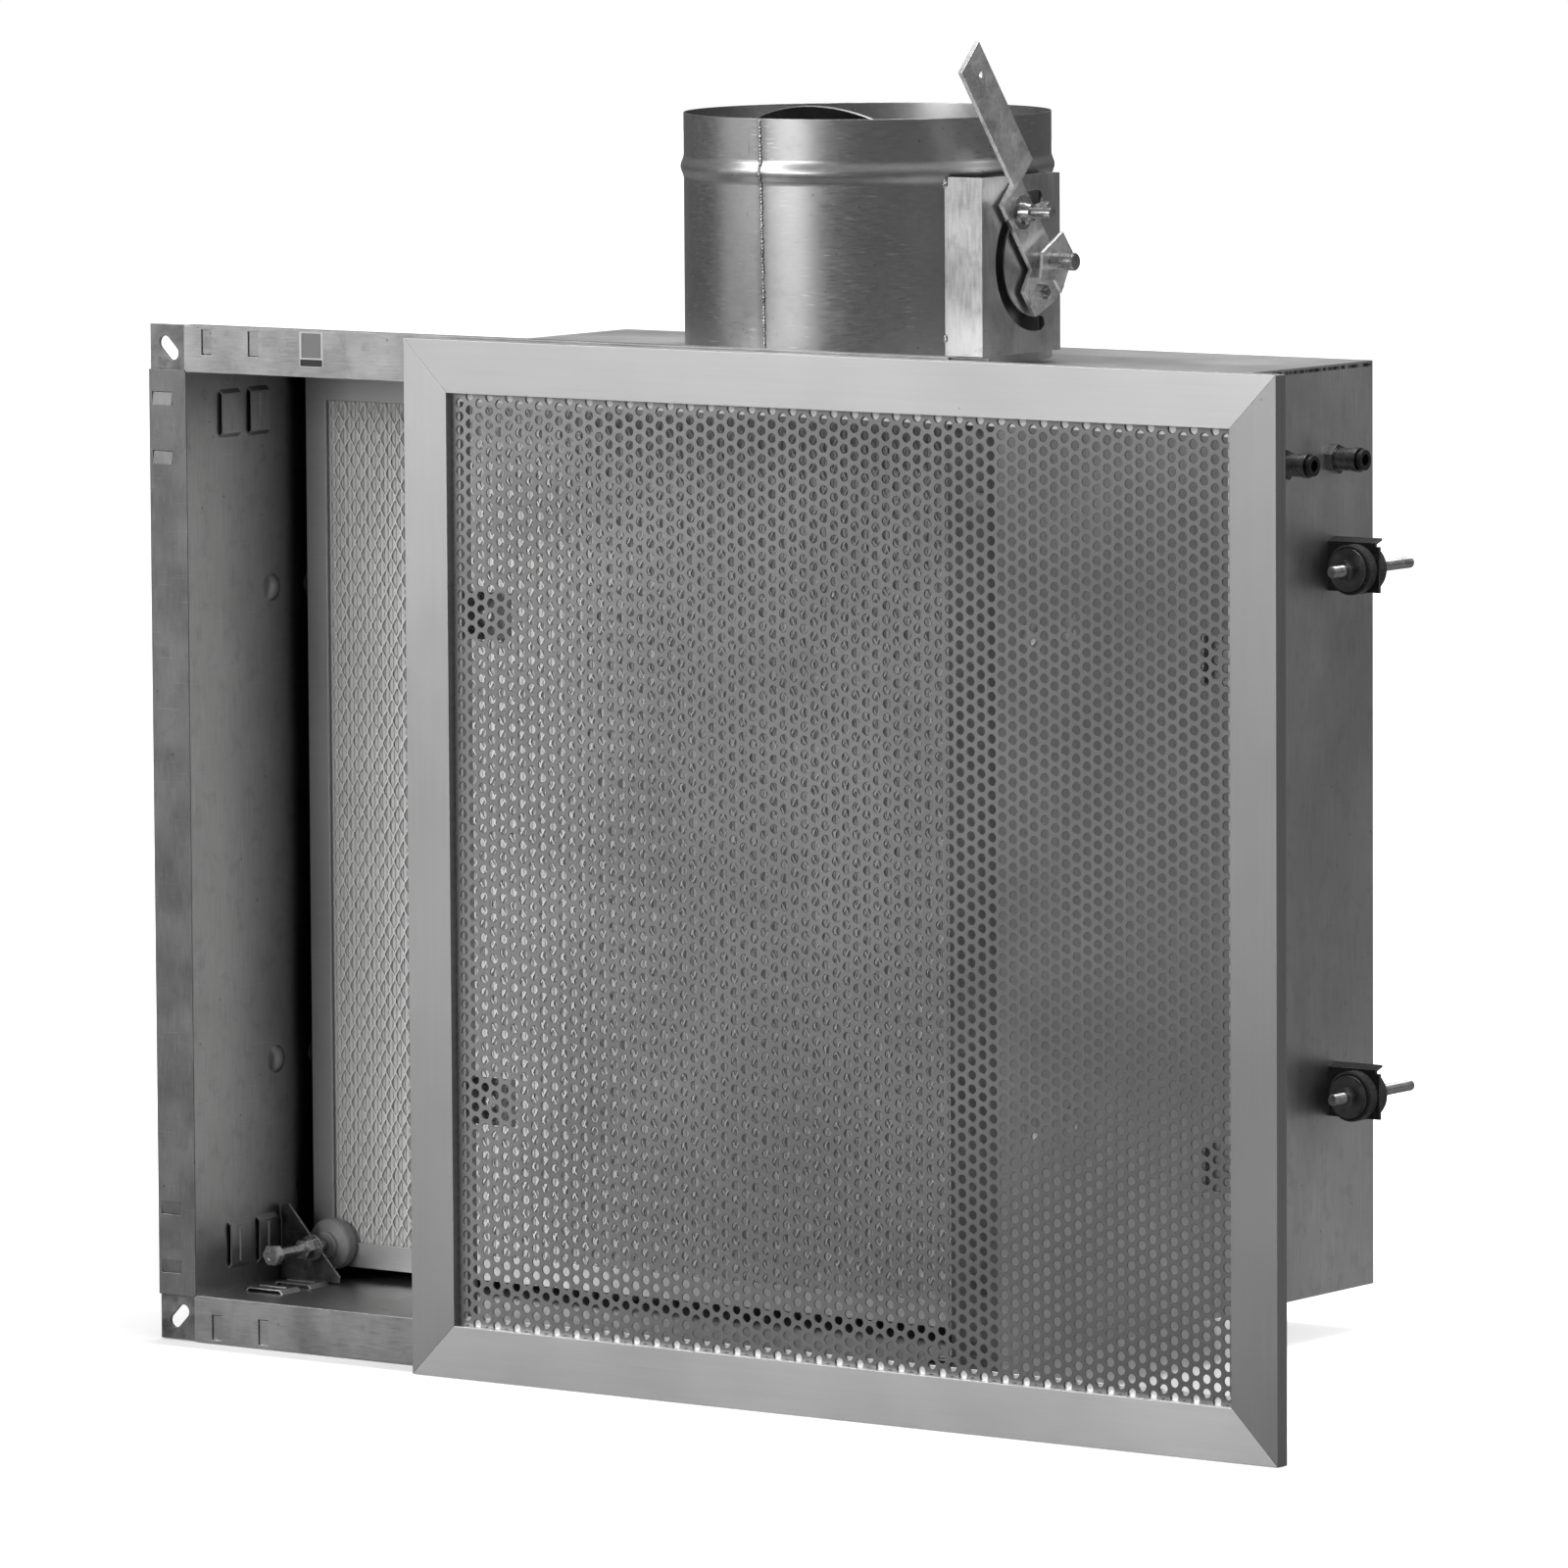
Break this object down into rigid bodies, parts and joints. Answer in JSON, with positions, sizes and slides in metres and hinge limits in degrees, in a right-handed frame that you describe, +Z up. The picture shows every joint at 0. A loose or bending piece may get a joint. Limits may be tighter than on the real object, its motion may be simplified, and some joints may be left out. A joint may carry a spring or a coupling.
{
  "type": "filter terminal housing",
  "caption": "Square sheet-metal filter terminal with flanged front opening, clamped panel filter, round top spigot with lever damper, side ports, hanging studs and loose perforated cover.",
  "frame": {"origin": "centre of the square opening on the front face of the flange, which is also the centre of the corner slot pattern", "axes": "+X to the right seen from the front, +Y into the box towards the rear panel, +Z up through the spigot"},
  "size_m": [0.9413, 0.537, 0.8802],
  "materials": {
    "galvanised_sheet": "mill-finish stainless or galvanised sheet, faint smudges",
    "flange_steel": "folded sheet profile, smudged, bright edges",
    "stainless_spigot": "vertical brushed rolled sheet with weld seam",
    "zinc_hardware": "bright zinc-plated steel with fine scratches",
    "dark_steel": "dull plated steel",
    "black_bracket": "black coated sheet with bright cut edges",
    "black_rubber": "matt moulded rubber",
    "black_plastic": "moulded plastic",
    "grey_plastic": "light grey moulded plastic",
    "nickel_brass": "dark nickel-plated brass",
    "filter_frame_aluminium": "light grey anodised",
    "filter_media": "white pleated glass paper",
    "guard_white": "white powder-coated expanded metal",
    "gasket_foam": "closed-cell foam",
    "cover_aluminium": "fine brushed anodised extrusion",
    "perforated_aluminium": "perforated anodised sheet"
  },
  "bodies": {
    "casing": {"housing_left_wall": "galvanised_sheet", "housing_right_wall": "galvanised_sheet", "housing_top_wall": "galvanised_sheet", "housing_bottom_wall": "galvanised_sheet", "flange_profile_left": "flange_steel", "flange_profile_right": "flange_steel", "flange_profile_top": "flange_steel", "flange_profile_bottom": "flange_steel", "flange_corner_pieces": "flange_steel", "plenum_left_wall": "galvanised_sheet", "plenum_right_wall": "galvanised_sheet", "plenum_top_wall": "galvanised_sheet", "plenum_bottom_wall": "galvanised_sheet", "plenum_rear_panel": "galvanised_sheet", "filter_seat_angles": "galvanised_sheet", "filter_frame": "filter_frame_aluminium", "filter_pleat_pack": "filter_media", "filter_guard_front": "guard_white", "filter_guard_rear": "guard_white", "filter_gasket": "gasket_foam", "spigot_tube": "stainless_spigot", "damper_bushes": "black_plastic", "damper_quadrant": "stainless_spigot", "pressure_port_bodies": "nickel_brass", "port_locknuts": "nickel_brass", "hanger_brackets": "black_bracket", "hanger_rubber_discs": "black_rubber", "hanger_washers": "dark_steel", "hanger_studs": "dark_steel", "hanger_nuts": "zinc_hardware", "clamp_bracket_left": "galvanised_sheet", "clamp_nut_sleeve_left": "zinc_hardware", "clamp_bracket_right": "galvanised_sheet", "clamp_nut_sleeve_right": "zinc_hardware"},
    "damper": {"damper_shaft": "zinc_hardware", "damper_blade": "stainless_spigot", "damper_blade_bolts": "zinc_hardware", "damper_lever": "zinc_hardware", "lever_shaft_clamp": "zinc_hardware", "lever_clamp_bolt": "zinc_hardware", "lever_clamp_nut": "zinc_hardware", "wing_bolt_washers": "zinc_hardware", "wing_bolt": "zinc_hardware"},
    "wing_nut_body": {"wing_nut": "zinc_hardware"},
    "collet_front": {"port_collet_front": "black_plastic"},
    "collet_rear": {"port_collet_rear": "black_plastic"},
    "pad_left": {"clamp_pad_left": "grey_plastic"},
    "bolt_left": {"clamp_bolt_left": "zinc_hardware"},
    "pad_right": {"clamp_pad_right": "grey_plastic"},
    "bolt_right": {"clamp_bolt_right": "zinc_hardware"},
    "cover": {"cover_rail_bottom": "cover_aluminium", "cover_rail_left": "cover_aluminium", "cover_rail_top": "cover_aluminium", "cover_rail_right": "cover_aluminium", "cover_perforated_sheet": "perforated_aluminium", "cover_corner_cleats": "cover_aluminium", "cover_fixing_brackets": "zinc_hardware"}
  },
  "joints": [
    {"name": "cover_slide", "type": "slide", "parent": "casing", "child": "cover", "axis": [1, 0, 0], "range_m": [-0.2408, 0]},
    {"name": "damper_turn", "type": "hinge", "parent": "casing", "child": "damper", "pos_m": [0, 0.351, 0.384], "axis": [1, 0, 0], "range_deg": [-28.5, 61.5]},
    {"name": "wing_nut_turn", "type": "hinge", "parent": "damper", "child": "wing_nut_body", "pos_m": [0.15, 0.32513, 0.41772], "axis": [1, 0, 0], "continuous": true},
    {"name": "collet_front_press", "type": "slide", "parent": "casing", "child": "collet_front", "axis": [1, 0, 0], "range_m": [-0.0015, 0], "stiffness_N_per_m": 600, "springref_m": 0.001},
    {"name": "collet_rear_press", "type": "slide", "parent": "casing", "child": "collet_rear", "axis": [1, 0, 0], "range_m": [-0.0015, 0], "stiffness_N_per_m": 600, "springref_m": 0.001},
    {"name": "clamp_left_travel", "type": "slide", "parent": "casing", "child": "pad_left", "axis": [0, 1, 0], "range_m": [-0.008, 0]},
    {"name": "clamp_left_turn", "type": "hinge", "parent": "pad_left", "child": "bolt_left", "pos_m": [-0.285, 0.08, -0.2895], "axis": [0, 1, 0], "range_deg": [-2310, 0]},
    {"name": "clamp_right_travel", "type": "slide", "parent": "casing", "child": "pad_right", "axis": [0, 1, 0], "range_m": [-0.008, 0]},
    {"name": "clamp_right_turn", "type": "hinge", "parent": "pad_right", "child": "bolt_right", "pos_m": [0.285, 0.08, -0.2895], "axis": [0, 1, 0], "range_deg": [-2310, 0]}
  ],
  "couplings": [
    {"joint": "clamp_left_turn", "follows": "clamp_left_travel", "rad_per_m": 5026.5},
    {"joint": "clamp_right_turn", "follows": "clamp_right_travel", "rad_per_m": 5026.5}
  ]
}
